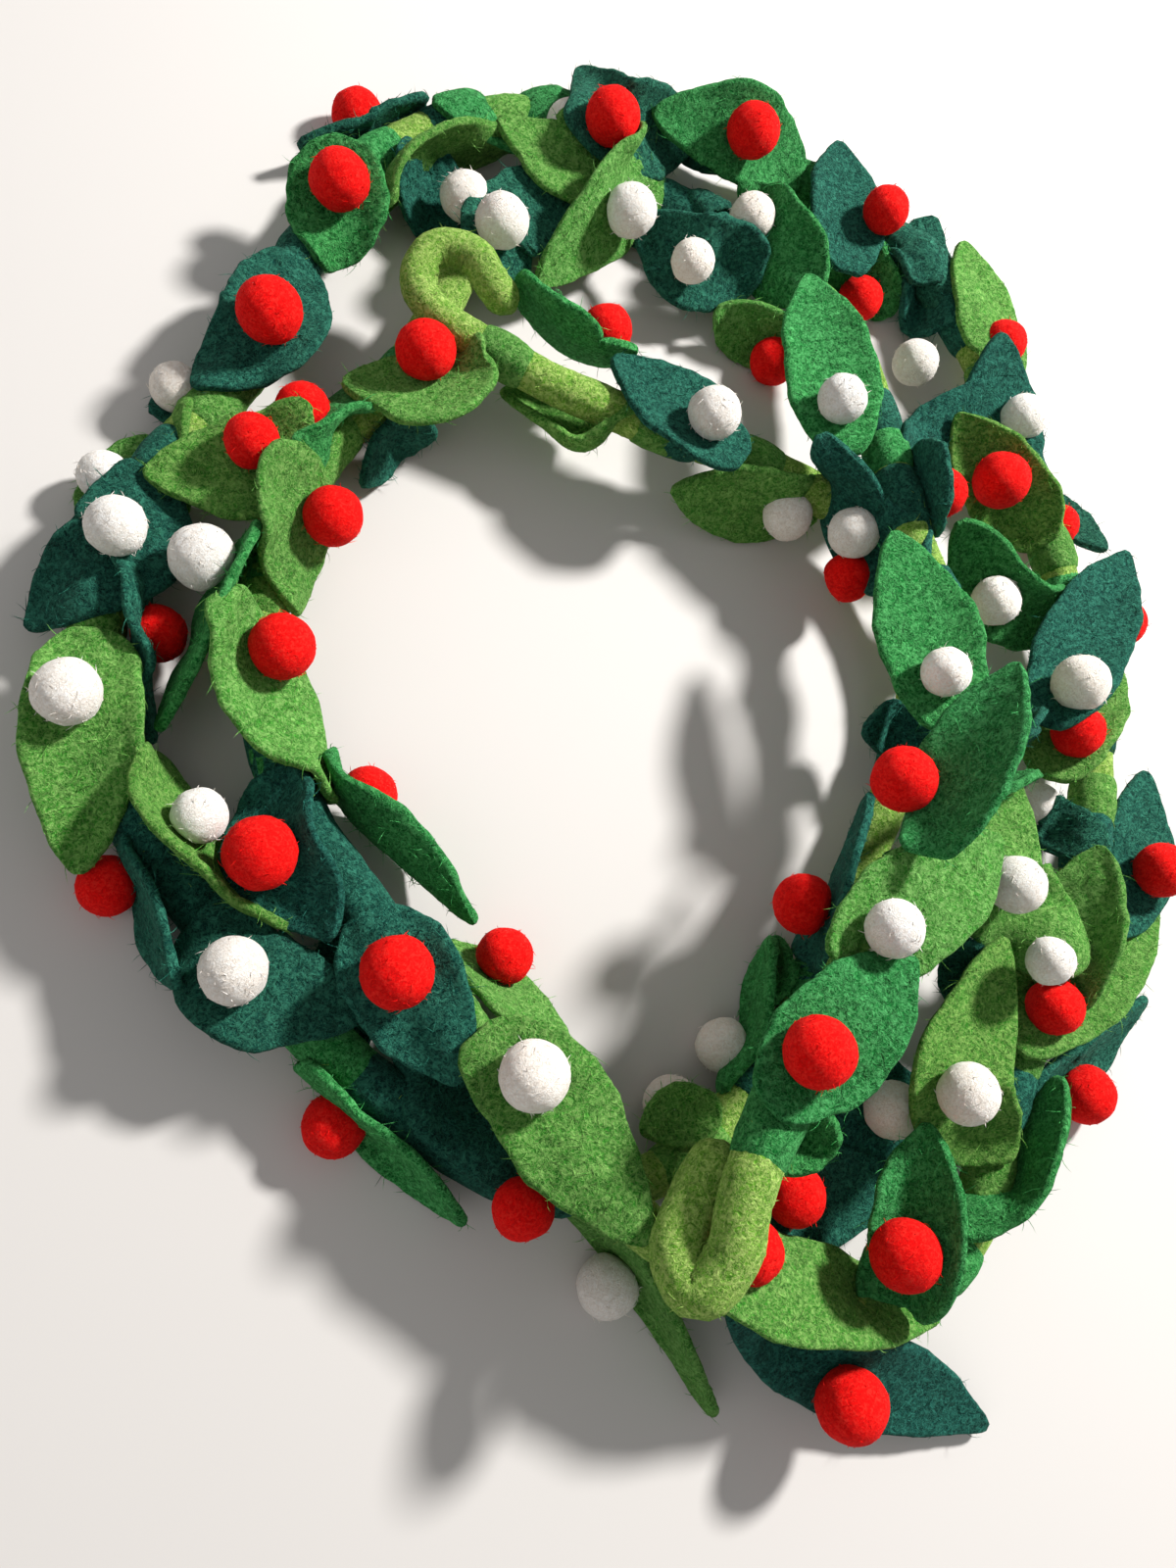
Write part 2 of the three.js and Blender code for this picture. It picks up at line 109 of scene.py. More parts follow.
# %% The rope's route, from one end loop to the other
ROUTE = [
    # 0: end B's loop, the rope's end sewn back at its neck
    [32, -127, 58], [21, -142, 54], [14, -159, 57], [20, -170, 62], [31.5, -161, 67], [37.5, -142, 70],
    [49, -118, 68],
    # 7: up the right side, on top of the pile
    [70, -86, 66], [94, -54, 64], [118, -22, 62], [130, 18, 58], [127, 58, 53], [114, 96, 47], [105, 134, 40],
    [95, 170, 32],
    # 15: along the top, inside
    [72, 196, 22], [38, 214, 16], [0, 224, 15], [-34, 212, 14], [-56, 186, 13], [-70, 152, 13],
    # 21: down the left, inside
    [-86, 118, 14], [-106, 92, 16], [-118, 58, 16], [-120, 18, 15], [-110, -20, 16], [-90, -52, 20],
    [-64, -82, 28], [-36, -114, 36], [0, -148, 40],
    # 30: round the bottom, outside
    [40, -172, 32], [84, -178, 21], [116, -156, 17], [132, -118, 18], [152, -78, 20],
    # 35: up the right side, outside
    [174, -36, 22], [186, 8, 22], [186, 52, 22], [178, 96, 22], [166, 142, 20], [150, 186, 17],
    [128, 220, 16], [94, 242, 15],
    # 43: along the top, outside
    [52, 250, 15], [8, 254, 15], [-38, 246, 14], [-78, 228, 14], [-104, 198, 14],
    # 48: down the left, outside
    [-120, 158, 14], [-134, 116, 14], [-156, 76, 14], [-168, 26, 14], [-154, -26, 14], [-128, -64, 14],
    [-96, -96, 14], [-62, -122, 14], [-24, -140, 14], [12, -134, 14],
    # 58: up the right side again, under the pile
    [42, -108, 14], [64, -76, 15], [82, -40, 15], [100, -4, 15], [112, 34, 16], [106, 72, 18],
    # 64: across to the left, and end A's loop, sewn back along the rope
    [86, 100, 22], [50, 115, 26], [12, 123, 30], [-26, 133, 33], [-50, 143, 34], [-69, 153, 34],
    [-77, 166, 35], [-71, 180, 38], [-58, 181, 40], [-50, 170, 40], [-42, 160, 38],
]

# %% [markdown]
# Each row of the next table is one leaf: the solid it belongs to, where along the route it is sewn on, where
# its tip is, where its berry sits, how far outward of the midrib that is, how many degrees its face leans
# out of the ring, how many degrees it is cupped, how far its outer half bows up, its green, its berry's
# colour and the berry's diameter.

# %% The leaves
LEAVES = [
    # end B and up the right side, on top
    [1, 6.1, [103, -66, 76], [65, -99, 87], -3, 0, 30, 2, "mid", "red", 21],
    [2, 7.5, [142, -22, 64], [96, -57, 82], 0, 0, 30, 3, "light", "white", 18],
    [3, 9.0, [157, 47, 90], [104, -3, 78], -14, -62, 50, 2, "mid", "red", 21],
    [4, 10.1, [107, 95, 60], [125, 40, 70], 0, -15, 40, 2, "mid", "white", 17],
    [5, 11.3, [80, 133, 52], [90, 92, 36], 0, -70, 30, 0, "dark", "white", 19],
    [6, 12.3, [116, 130, 44], [130, 115, 46], 8, 75, 40, 0, "dark", "red", 19],
    [7, 12.8, [77, 203, 44], [89, 149, 56], 0, -15, 50, 2, "mid", "white", 18],
    [8, 14.7, [37, 181, 16], [60, 160, 9], 0, -70, 30, 2, "light", "red", 19],
    [9, 14.5, [58, 238, 22], [54, 225, 34], 0, -60, 40, 0, "mid", "white", 18],
    [10, 15.3, [4, 212, 22], [28, 198, 32], 0, -45, 50, 0, "dark", "white", 17],
    [11, 17.6, [-37, 172, 16], [-47, 198, 34], 0, 0, 50, 0, "dark", "white", 20],
    # down the left side, inside
    [12, 67.8, [-101, 120, 26], [-73, 138, 39], 9, 25, 40, 0, "light", "red", 21],
    [13, 20.8, [-141, 73, 26], [-113, 107, 24], 0, 75, 20, 0, "mid", "red", 19],
    [14, 22.1, [-113, 33, 12], [-101, 70, 30], -12, -45, 50, 0, "light", "red", 20],
    [15, 23.3, [-148, -8, 20], [-140, 50, 34], 0, 70, 20, 0, "mid", "white", 21],
    [16, 23.4, [-98, -28, 14], [-114, 23, 34], -8, -35, 30, 0, "light", "red", 21],
    [17, 24.8, [-91, -68, 26], [-116, -43, 40], 0, 35, 80, 0, "dark", "red", 22],
    [18, 24.9, [-50, -61, 20], [-85, -23, 18], 0, -94, 110, 0, "mid", "red", 19],
    [19, 26.1, [-53, -109, 30], [-74, -77, 44], 0, 15, 60, 0, "dark", "red", 22],
    [20, 26.8, [-18, -108, 46], [-41, -71, 14], 0, -60, 20, 0, "light", "red", 19],
    [20, 27.3, [4, -156, 46], [-31, -107, 54], 0, 0, 20, 0, "light", "white", 21],
    # round the bottom and up the right side, outside
    [21, 28.5, [25, -204, 8], [-8, -167, 9], 0, 80, 20, 0, "light", "white", 20],
    [22, 29.8, [102, -181, 27], [38, -159, 46], -3, -33, 20, 0, "light", "red", 20],
    [23, 29.6, [117, -213, 4], [70, -204, 26], 7, 20, 20, 0, "dark", "red", 23],
    # painted shade: leaf 24 lies in deep shade and is given the dark green for it, darker than its own felt
    [24, 58.1, [96, -142, 14], [54, -143, 26], 0, 0, 20, 0, "dark", "red", 20],
    [25, 31.0, [103, -121, 44], [92, -162, 50], -2, -50, 130, 0, "mid", "red", 22],
    [26, 31.7, [158, -106, 30], [130, -132, 28], 0, -70, 50, 0, "mid", "none", 20],
    [27, 32.5, [140, -58, 46], [120, -112, 52], 0, -10, 60, 0, "light", "white", 20],
    [28, 33.1, [198, -78, 16], [167, -112, 9], 0, 48, 20, 0, "dark", "red", 22],
    [29, 33.8, [186, -22, 38], [157, -62, 36], -5, -50, 70, 0, "light", "white", 19],
    [30, 33.5, [207, -44, 14], [158, -82, 34], 0, -20, 50, 0, "light", "red", 20],
    [31, 34.5, [210, 9, 18], [212, -30, 28], 4, 0, 20, 0, "dark", "red", 21],
    [29, 34.2, [151, 0, 46], [147, -39, 54], 0, -10, 30, 0, "light", "white", 20],
    [32, 35.7, [198, 60, 20], [181, 22, 38], 4, -30, 30, 0, "light", "red", 20],
    [33, 36.3, [215, 102, 38], [185, 42, 50], 4, -20, 70, 0, "dark", "white", 21],
    [34, 37.2, [137, 107, 42], [150, 72, 36], 0, -60, 100, 0, "mid", "white", 19],
    [35, 38.0, [140, 152, 40], [158, 125, 44], 0, -45, 100, 0, "light", "red", 22],
    [36, 38.9, [166, 195, 40], [172, 156, 32], 8, 0, 20, 0, "dark", "white", 19],
    [37, 39.6, [150, 236, 26], [166, 190, 26], 0, 0, 20, 0, "light", "red", 19],
    [38, 41.0, [80, 228, 18], [100, 197, 9], 0, -70, 30, 0, "mid", "red", 19],
    [39, 41.7, [95, 272, 28], [115, 243, 36], 16, 0, 40, 0, "dark", "red", 19],
    # along the top, outside
    [40, 42.4, [12, 264, 34], [56, 267, 44], 0, -35, 50, 0, "mid", "red", 21],
    [41, 43.4, [-18, 276, 24], [-4, 257, 42], 0, -40, 80, 0, "dark", "red", 21],
    [42, 44.0, [-50, 243, 28], [-18, 238, 36], 0, 0, 20, 0, "light", "none", 20],
    [42, 44.1, [-34, 173, 20], [3, 215, 34], 0, -50, 20, 0, "light", "white", 20],
    [43, 44.6, [-75, 241, 22], [-21, 248, 24], 0, 15, 20, 0, "mid", "white", 20],
    [44, 45.2, [-100, 173, 14], [-79, 206, 22], 0, -95, 60, 0, "light", "none", 19],
    [45, 45.7, [-121, 212, 14], [-101, 230, 9], 0, 75, 20, 0, "dark", "red", 20],
    # down the left side, outside
    [46, 46.6, [-110, 158, 10], [-106, 201, 37], 0, 0, 50, 0, "mid", "red", 21],
    [47, 47.8, [-146, 102, 8], [-126, 143, 38], 0, 0, 50, 0, "dark", "red", 22],
    [48, 21.9, [-160, 76, 26], [-128, 93, 38], 5, 0, 30, 0, "light", "red", 18],
    [49, 49.9, [-187, 20, 10], [-166, 57, 34], 3, 0, 20, 0, "dark", "white", 19],
    [49, 50.3, [-149, -12, 10], [-151, 23, 16], 0, -80, 20, 0, "dark", "red", 19],
    [50, 51.0, [-165, -53, 14], [-174, 2, 38], 4, 0, 90, 0, "light", "white", 20],
    [51, 51.8, [-102, -63, 24], [-134, -33, 32], 0, -60, 70, 0, "light", "white", 17],
    [52, 52.2, [-136, -83, 30], [-157, -55, 9], 0, 80, 20, 0, "dark", "red", 19],
    [52, 52.8, [-83, -91, 26], [-121, -78, 36], 0, 0, 20, 0, "dark", "white", 20],
    [53, 53.9, [-51, -149, 14], [-90, -121, 9], 0, 75, 50, 0, "mid", "red", 20],
    # up the right side below, and across to end A
    [54, 58.4, [50, -61, 18], [31, -97, 9], 0, -95, 30, 0, "mid", "white", 19],
    [55, 59.0, [90, -9, 40], [62, -50, 34], 0, -107, 10, 0, "dark", "red", 21],
    [56, 65.0, [17, 98, 20], [63, 95, 20], 0, -60, 30, 0, "light", "white", 19],
    [57, 65.8, [-5, 149, 40], [35, 133, 50], 0, 10, 30, 0, "dark", "white", 19],
    [58, 65.9, [-46, 128, 16], [-14, 120, 22], 0, 35, 130, 0, "light", "none", 19],
    [59, 73.0, [5, 153, 38], [-7, 160, 34], 0, -70, 20, 0, "mid", "red", 19],
]
COLUMNS = ("body", "at", "tip", "berry", "aside", "lean", "cup", "bow", "green", "colour", "size")
leaves = [dict(zip(COLUMNS, row)) for row in LEAVES]
print(len(leaves), "leaves,", sum(leaf["colour"] != "none" for leaf in leaves), "berries")

# %% [markdown]
# A few more leaves lie half hidden between the others. They have no solid of their own, because the plain
# model stops at sixty pieces, and they fill the gaps where the rope would otherwise lie bare. Some dark ones
# are partly or wholly painted shade: dark felt laid where deep shadow falls between the others. Their rows
# differ a little: number, place along the route, root, berry, tip, lean, cup, green, colour and size of the
# berry, width as a share of a full leaf's, and how far the felt wraps the rope either way from the seam. A
# root of None is found from the rope, as in the first table. A row whose green is "none" is a lone berry, of
# whose leaf nothing is to be seen.

# %% The leaves between
BETWEEN = [
    [60, 8.8, None, [122, -28, 52], [162, 4, 56], 80, 20, "mid", "none", 20, 1, 12],
    [61, 9.6, None, [158, 4, 44], [168, 30, 44], 70, 20, "dark", "none", 20, 1, 12],
    [62, 20.9, [-69, 109, 18], [-78, 98, 14], [-92, 82, 10], -60, 30, "dark", "none", 20, 0.6, 12],
    [63, 38.7, None, [196, 117, 16], [205, 101, 14], 0, 20, "dark", "none", 20, 0.6, 12],
    [64, 58.3, None, [91, -117, 22], [118, -128, 12], 0, 20, "dark", "white", 20, 1, 12],
    [65, 33.2, [122, -86, 30], [120, -71, 36], [117, -58, 38], -60, 20, "dark", "none", 20, 0.6, 12],
    [66, 55.6, None, [-34, -145, 30], [-42, -136, 12], 0, 20, "none", "red", 19, 1, 0],
    [67, 57.2, [30, -117, 25], [17, -119, 28], [3, -123, 24], 0, 10, "light", "none", 20, 0.55, 14],
    [68, 64.2, None, [86, 73, 22], [98, 62, 12], -40, 20, "none", "red", 19, 1, 0],
    [69, 61.2, [115, 10, 34], [102, 14, 32], [89, 14, 30], -30, 20, "dark", "none", 20, 0.6, 12],
    [70, 59.0, [45, -84, 12], [48, -73, 12], [50, -61, 12], -80, 20, "mid", "none", 20, 0.6, 12],
    [71, 48.0, [-138, 112, 16], [-153, 108, 13], [-160, 98, 10], 20, 20, "dark", "white", 17, 0.7, 16],
    [72, 48.9, [-150, 90, 14], [-171, 73, 10], [-178, 62, 8], 20, 20, "light", "white", 17, 0.8, 16],
    [73, 49.3, None, [-180, 56, 12], [-165, 82, 10], 60, 20, "light", "none", 20, 1, 12],
    [74, 38.6, None, [123, 172, 18], [118, 190, 14], -50, 20, "none", "white", 19, 1, 0],
    [75, 40.8, [119, 212, 20], [133, 229, 22], [138, 245, 18], 0, 40, "dark", "none", 20, 0.9, 30],
    # painted shade: dark felt laid in the deep shadow between the leaves here, where the floor would show
    [77, 40.2, [145, 193, 16], [131, 201, 15], [117, 207, 12], 0, 10, "dark", "none", 20, 0.62, 12],
    # partly a real dark leaf edge, partly painted shade over the black shadow beside it
    [78, 35.3, [177, -30, 24], [173, -18, 26], [170, -4, 26], 0, 20, "dark", "none", 20, 0.5, 14],
    # painted shade: dark felt for the black shade under the arch of leaf 44, where the floor would show
    [82, 46.8, [-88, 205, 16], [-73, 206, 14], [-58, 212, 12], 0, 10, "dark", "none", 20, 0.9, 12],
    [90, 53.6, [-92, -66, 10], [-89, -81, 10], [-82, -99, 8], 0, 10, "dark", "none", 20, 0.55, 12],
    [76, 36.6, None, [208, 70, 30], [216, 84, 14], 60, 20, "none", "red", 19, 1, 0],
    [79, 6.0, [60, -112, 62], [53, -124, 58], [42, -136, 52], 25, 40, "mid", "none", 20, 0.8, 18],
    # partly painted shade: a dark leaf and a long dark wrap over rope that lies in shadow here
    [80, 55.2, [-72, -98, 22], [-50, -115, 20], [-28, -139, 20], 30, 40, "dark", "none", 20, 0.8, 46],
    [81, 57.0, None, [13, -115, 10], [4, -126, 8], 0, 20, "none", "white", 19, 1, 0],
    [83, 32.8, None, [158, -66, 61], [166, -54, 20], 0, 20, "none", "white", 16, 1, 0],
    [84, 34.5, None, [160, -8, 17], [172, 4, 18], 0, 20, "none", "white", 16, 1, 0],
    [86, 13.2, [112, 122, 46], [131, 144, 44], [154, 170, 42], 0, 20, "dark", "none", 20, 0.6, 12],
    [87, 45.2, None, [-61, 205, 20], [-61, 205, 14], 0, 20, "none", "white", 19, 1, 0],
    [88, 37.4, None, [182, 109, 12], [196, 112, 10], 0, 20, "none", "red", 18, 1, 0],
    [85, 16.4, None, [20, 222, 14], [44, 226, 10], 0, 20, "dark", "none", 20, 0.8, 22],
]
BETWEEN_COLUMNS = (
    "body", "at", "root", "berry", "tip", "lean", "cup", "green", "colour", "size", "slim", "wrap",
)
between = [dict(zip(BETWEEN_COLUMNS, row), aside=0, bow=0) for row in BETWEEN]
print(len(between), "rows between:", sum(leaf["green"] != "none" for leaf in between), "leaves,",
      sum(leaf["colour"] != "none" for leaf in between), "berries")

# %% [markdown]
# ## Smooth lines
#
# The rope and each leaf's midrib follow a smooth curve through a few points. Blender has curve objects for
# this, but here the same curve is also needed to lay leaves over the rope, so it is worked out as a row of
# close points: a centripetal Catmull-Rom curve, which passes through every point without overshooting.


# %% A smooth line through a few points
class Line:
    """A smooth curve through some points, kept as a row of close points."""

    def __init__(self, knots, fine=40):
        knots = [np.array(k, float) for k in knots]
        padded = [2 * knots[0] - knots[1], *knots, 2 * knots[-1] - knots[-2]]
        self.fine, rows = fine, []
        for a, b, c, d in zip(padded, padded[1:], padded[2:], padded[3:]):
            steps = [max(np.linalg.norm(q - p) ** 0.5, 1e-4) for p, q in ((a, b), (b, c), (c, d))]
            into = (b - a) / steps[0] - (c - a) / (steps[0] + steps[1]) + (c - b) / steps[1]
            out = (c - b) / steps[1] - (d - b) / (steps[1] + steps[2]) + (d - c) / steps[2]
            into, out = into * steps[1], out * steps[1]
            t = np.linspace(0, 1, fine, endpoint=False)[:, None]
            square, cube = 3 * (c - b) - 2 * into - out, 2 * (b - c) + into + out
            rows.append(b + into * t + square * t**2 + cube * t**3)
        self.points = np.vstack([*rows, knots[-1][None]])
        gaps = np.linalg.norm(np.diff(self.points, axis=0), axis=1)
        self.travel = np.concatenate([[0], np.cumsum(gaps)])
        self.length = self.travel[-1]

    def at_length(self, distance):
        """The point at a distance from the start, measured along the line."""
        return np.stack([np.interp(distance, self.travel, axis) for axis in self.points.T], -1)

    def at_knot(self, knot):
        """The point at a place counted in the points that the line was made from."""
        return self.at_length(np.interp(knot * self.fine, np.arange(len(self.points)), self.travel))

    def heading(self, distance):
        """The direction of the line at a distance from its start."""
        ahead = self.at_length(np.minimum(distance + 0.5, self.length))
        return unit(ahead - self.at_length(np.maximum(distance - 0.5, 0)))


def unit(vectors):
    """The same vectors, each one unit long."""
    return vectors / np.maximum(np.linalg.norm(vectors, axis=-1, keepdims=True), 1e-9)


rope_line = Line([place(p) for p in ROUTE])
print("the rope is", round(rope_line.length), "mm long")

# %% [markdown]
# ## The finishes
#
# Felt has no gloss and no weave. What the eye sees is a tangle: pale fibres that cross each other over a
# darker ground, in soft blotches of more and less colour. A picture of felt would do it, but a pattern made
# of noise needs no picture and has no seams. Each finish here is six noises on Object coordinates. A broad
# one makes the blotches and a fine, twisted one the grain. The other four draw strands, one set finer than
# the last: a strand runs wherever its noise passes through its middle value. Grain and strands also raise
# the surface a little. The sheen is the glow of fine hair where the surface turns away. Every leaf carries a
# tint of its own, because no two come out of the dye bath alike.

# %% A finish for felt
GAMMA = 2.2
BLOTCH_SCALE = 90  # the higher, the smaller the blotches
STRAND_EDGE = 32.0  # the higher, the thinner the strands
STRAND_SETS = ((0.45, 0.0), (0.62, 0.37), (0.85, 0.71), (1.15, 1.13))  # fineness, and a shift in metres


def linear(colour):
    """A colour given as 0 to 255, as the shader wants it."""
    return [(c / 255) ** GAMMA for c in colour] + [1]


def felt_finish(name, ground, fibre, deep, tangle=520, relief=1.0, sheen=0.35, strength=0.6):
    """ground is the main colour, fibre the pale strands over it, deep the colour between them.

    tangle says how fine the grain is, relief how high it stands in millimetres, sheen how much fine hair
    glows at the edge, and strength how much the strands show.
    """
    finish = bpy.data.materials.new(name)
    finish.use_nodes = True
    nodes, links = finish.node_tree.nodes, finish.node_tree.links
    surface = nodes["Principled BSDF"]
    surface.inputs["Roughness"].default_value = 0.95
    surface.inputs["Specular IOR Level"].default_value = 0.15
    surface.inputs["Sheen Weight"].default_value = sheen
    surface.inputs["Sheen Roughness"].default_value = 0.5
    surface.inputs["Sheen Tint"].default_value = linear(fibre)
    where = nodes.new("ShaderNodeTexCoord").outputs["Object"]

    def add_noise(scale, detail, twist=0.0, shift=0.0):
        moved = nodes.new("ShaderNodeMapping")
        moved.inputs["Location"].default_value = (shift, shift * 0.6, shift * 0.3)
        links.new(where, moved.inputs["Vector"])
        made = nodes.new("ShaderNodeTexNoise")
        made.inputs["Scale"].default_value = scale
        made.inputs["Detail"].default_value = detail
        made.inputs["Distortion"].default_value = twist
        links.new(moved.outputs["Vector"], made.inputs["Vector"])
        return made.outputs["Fac"]

    def maths(kind, *values, clamp=False):
        made = nodes.new("ShaderNodeMath")
        made.operation, made.use_clamp = kind, clamp
        for socket, value in zip(made.inputs, values):
            if isinstance(value, float):
                socket.default_value = value
            else:
                links.new(value, socket)
        return made.outputs[0]

    def ramp(value, *stops):
        made = nodes.new("ShaderNodeValToRGB")
        made.color_ramp.elements[0].position, made.color_ramp.elements[0].color = stops[0]
        made.color_ramp.elements[1].position, made.color_ramp.elements[1].color = stops[-1]
        for spot, colour in stops[1:-1]:
            made.color_ramp.elements.new(spot).color = colour
        links.new(value, made.inputs["Fac"])
        return made.outputs["Color"]

    def blend(kind, amount, below, above):
        made = nodes.new("ShaderNodeMix")
        made.data_type, made.blend_type = "RGBA", kind
        sockets = made.inputs["Factor"], made.inputs[6], made.inputs[7]  # 6 and 7 are the two colours
        for socket, value in zip(sockets, (amount, below, above)):
            if isinstance(value, (float, list)):
                socket.default_value = value
            else:
                links.new(value, socket)
        return made.outputs[2]

    middle = [(a + b) / 2 for a, b in zip(linear(ground), linear(deep))]
    blotches = ramp(add_noise(BLOTCH_SCALE, 3), (0.34, middle), (0.55, linear(ground)))
    grain = add_noise(tangle, 5, twist=1.2)
    speckle = ramp(grain, (0.38, linear(deep)), (0.50, linear(ground)), (0.62, linear(fibre)))
    body = blend("MIX", 0.6, blotches, speckle)
    strands = None
    for fineness, shift in STRAND_SETS:
        wave = add_noise(tangle * fineness, 2, twist=1.5, shift=shift)
        line = maths("ABSOLUTE", maths("SUBTRACT", wave, 0.5))
        line = maths("SUBTRACT", 1.0, maths("MULTIPLY", line, STRAND_EDGE), clamp=True)
        strands = line if strands is None else maths("MAXIMUM", strands, line)
    body = blend("MIX", maths("MULTIPLY", strands, strength), body, linear(fibre))
    tint = nodes.new("ShaderNodeAttribute")
    tint.attribute_name = "tint"
    body = blend("MULTIPLY", 1.0, body, tint.outputs["Color"])
    links.new(body, surface.inputs["Base Color"])

    bump = nodes.new("ShaderNodeBump")
    bump.inputs["Strength"].default_value = 1.0
    bump.inputs["Distance"].default_value = relief * MM
    links.new(maths("ADD", grain, maths("MULTIPLY", strands, 0.25)), bump.inputs["Height"])
    links.new(bump.outputs["Normal"], surface.inputs["Normal"])
    return finish


FELTS = {
    "light": felt_finish("light_felt", (56, 130, 40), (142, 190, 102), (22, 72, 18)),
    "mid": felt_finish("mid_felt", (12, 106, 42), (96, 186, 108), (2, 48, 20)),
    "dark": felt_finish("dark_felt", (5, 62, 54), (62, 132, 108), (1, 22, 24)),
    "rope": felt_finish("rope_felt", (100, 160, 44), (196, 222, 124), (44, 98, 24)),
    "red": felt_finish("red_felt", (244, 4, 8), (250, 52, 42), (200, 0, 6),
                       tangle=800, relief=0.3, sheen=0.1, strength=0.2),
    "white": felt_finish("white_felt", (250, 240, 228), (255, 252, 246), (226, 212, 196),
                         tangle=800, relief=0.35, strength=0.3),
}
print("finishes:", ", ".join(finish.name for finish in FELTS.values()))

# %% [markdown]
# ## The rope
#
# The rope is one length of wool rolled wet until it felts: round, soft, a little uneven, and creased into
# pleats on the inside of its tightest bends. A curve with a bevel would be quicker, but it stays perfectly
# round, so the tube is built ring by ring. Each ring is carried along the line without twisting, and its
# radius changes from point to point: slow swellings, small lumps, and the pleats where the line bends hard.

# %% Helpers for making a mesh from points
def new_piece(name, verts, faces, finish, tint=None, smooth=True):
    """A mesh object in metres from points in millimetres, with its finish and its own tint."""
    mesh = bpy.data.meshes.new(name)
    mesh.from_pydata((np.asarray(verts) * MM).tolist(), [], faces)
    piece = bpy.data.objects.new(name, mesh)
    bpy.context.collection.objects.link(piece)
    mesh.materials.append(FELTS[finish])
    if smooth:
        mesh.shade_smooth()
    set_tint(mesh, tint)
    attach(piece, "root")
    return piece


def set_tint(mesh, tint=None):
    """Writes a tint to every point: one for all, or one row for each."""
    if "tint" in mesh.attributes:
        mesh.attributes.remove(mesh.attributes["tint"])
    count = len(mesh.vertices)
    rows = np.ones((count, 4))
    if tint is not None:
        rows[:, :3] = tint
    layer = mesh.attributes.new("tint", "FLOAT_COLOR", "POINT")
    layer.data.foreach_set("color", rows.ravel())


def verts_of(piece):
    """The piece's points in millimetres."""
    flat = np.empty(len(piece.data.vertices) * 3)
    piece.data.vertices.foreach_get("co", flat)
    return flat.reshape(-1, 3) / MM


def move_verts(piece, verts):
    """Puts the piece's points at these places, in millimetres."""
    piece.data.vertices.foreach_set("co", (verts * MM).ravel())
    piece.data.update()


def rough(points, size, seed):
    """Smooth noise from about -1 to 1 at each point, in lumps of about `size` millimetres."""
    shift = Vector((seed * 17.3, seed * 5.1, seed * 9.7))
    return np.array([noise.fractal(Vector(p) / size + shift, 0.7, 2.0, 2) for p in points])


# %% The rope's tube
ROPE_RADIUS = 7.5
RING_GAP = 2.2
ROPE_SIDES = 22
PLEAT_GAP, PLEAT_DEPTH = 4.6, 1.1
PLEATS_START, PLEATS_FULL = 45, 18  # the bend's radius where pleats start, and where they are deepest
SWELL, LUMPS = 0.35, 0.28  # how high the slow swellings and the small lumps are
ON_FLOOR = 0.2  # the rope and its wraps keep this far above the floor


def thickness_at(knot):
    """The rope's thickness at a place along its route: fuller in one loop, thinner in the other."""
    return np.interp(knot, [0, 5.5, 7, 66.5, 68, 74], [1.07, 1.07, 1, 1, 0.87, 0.87])


ring_count = int(rope_line.length / RING_GAP) + 1
ring_travel = np.linspace(0, rope_line.length, ring_count)
ring_centres = rope_line.at_length(ring_travel)
headings = rope_line.heading(ring_travel)


def carried_sides(tangents):
    """A side direction for every ring that turns with the line but never twists round it."""
    side = unit(np.cross(tangents[0], [0.3, 0.2, 1.0]))
    sides = []
    for tangent in tangents:
        side = unit(side - tangent * (side @ tangent))
        sides.append(side)
    return np.array(sides)


sides = carried_sides(headings)
uppers = np.cross(headings, sides)
angles = np.linspace(0, 2 * math.pi, ROPE_SIDES, endpoint=False)
spokes = np.cos(angles)[None, :, None] * sides[:, None] + np.sin(angles)[None, :, None] * uppers[:, None]

turn = np.gradient(headings, axis=0) / RING_GAP  # points to the inside of the bend, 1/radius long
bend = np.linalg.norm(turn, axis=1)
inside = np.clip(np.einsum("rsk,rk->rs", spokes, unit(turn)), 0, 1)
pleats = np.sin(ring_travel / PLEAT_GAP * 2 * math.pi + 2.0 * np.sin(ring_travel / 23.0))
tightness = (bend - 1 / PLEATS_START) / (1 / PLEATS_FULL - 1 / PLEATS_START)
pleat_depth = PLEAT_DEPTH * np.clip(tightness, 0, 1)
skin = ring_centres[:, None] + spokes * ROPE_RADIUS
swell = rough(skin.reshape(-1, 3), 19, 1).reshape(ring_count, -1)
lumps = rough(skin.reshape(-1, 3), 4.5, 2).reshape(ring_count, -1)
ring_knots = np.interp(ring_travel, rope_line.travel, np.arange(len(rope_line.points)) / rope_line.fine)
radius = ROPE_RADIUS * thickness_at(ring_knots)[:, None] + SWELL * swell + LUMPS * lumps
radius = radius + (pleat_depth * pleats)[:, None] * inside**1.5
ends = np.minimum(ring_travel, rope_line.length - ring_travel) / ROPE_RADIUS
radius *= np.sqrt(1 - (1 - np.clip(ends, 0.02, 1)) ** 2)[:, None]  # rounds off both ends
skin = ring_centres[:, None] + spokes * radius[..., None]
skin[..., 2] = np.maximum(skin[..., 2], ON_FLOOR)


def tube_faces(rings, around):
    """Quads round a row of rings, and a cap on each end."""
    faces = []
    for r in range(rings - 1):
        for s in range(around):
            t = (s + 1) % around
            faces.append((r * around + s, r * around + t, (r + 1) * around + t, (r + 1) * around + s))
    faces.append(tuple(reversed(range(around))))
    faces.append(tuple((rings - 1) * around + s for s in range(around)))
    return faces


rope = new_piece("felt_rope", skin.reshape(-1, 3), tube_faces(ring_count, ROPE_SIDES), "rope")
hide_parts("rope")
print("rope:", len(rope.data.polygons), "faces, tightest bend", round(1 / bend.max(), 1), "mm")

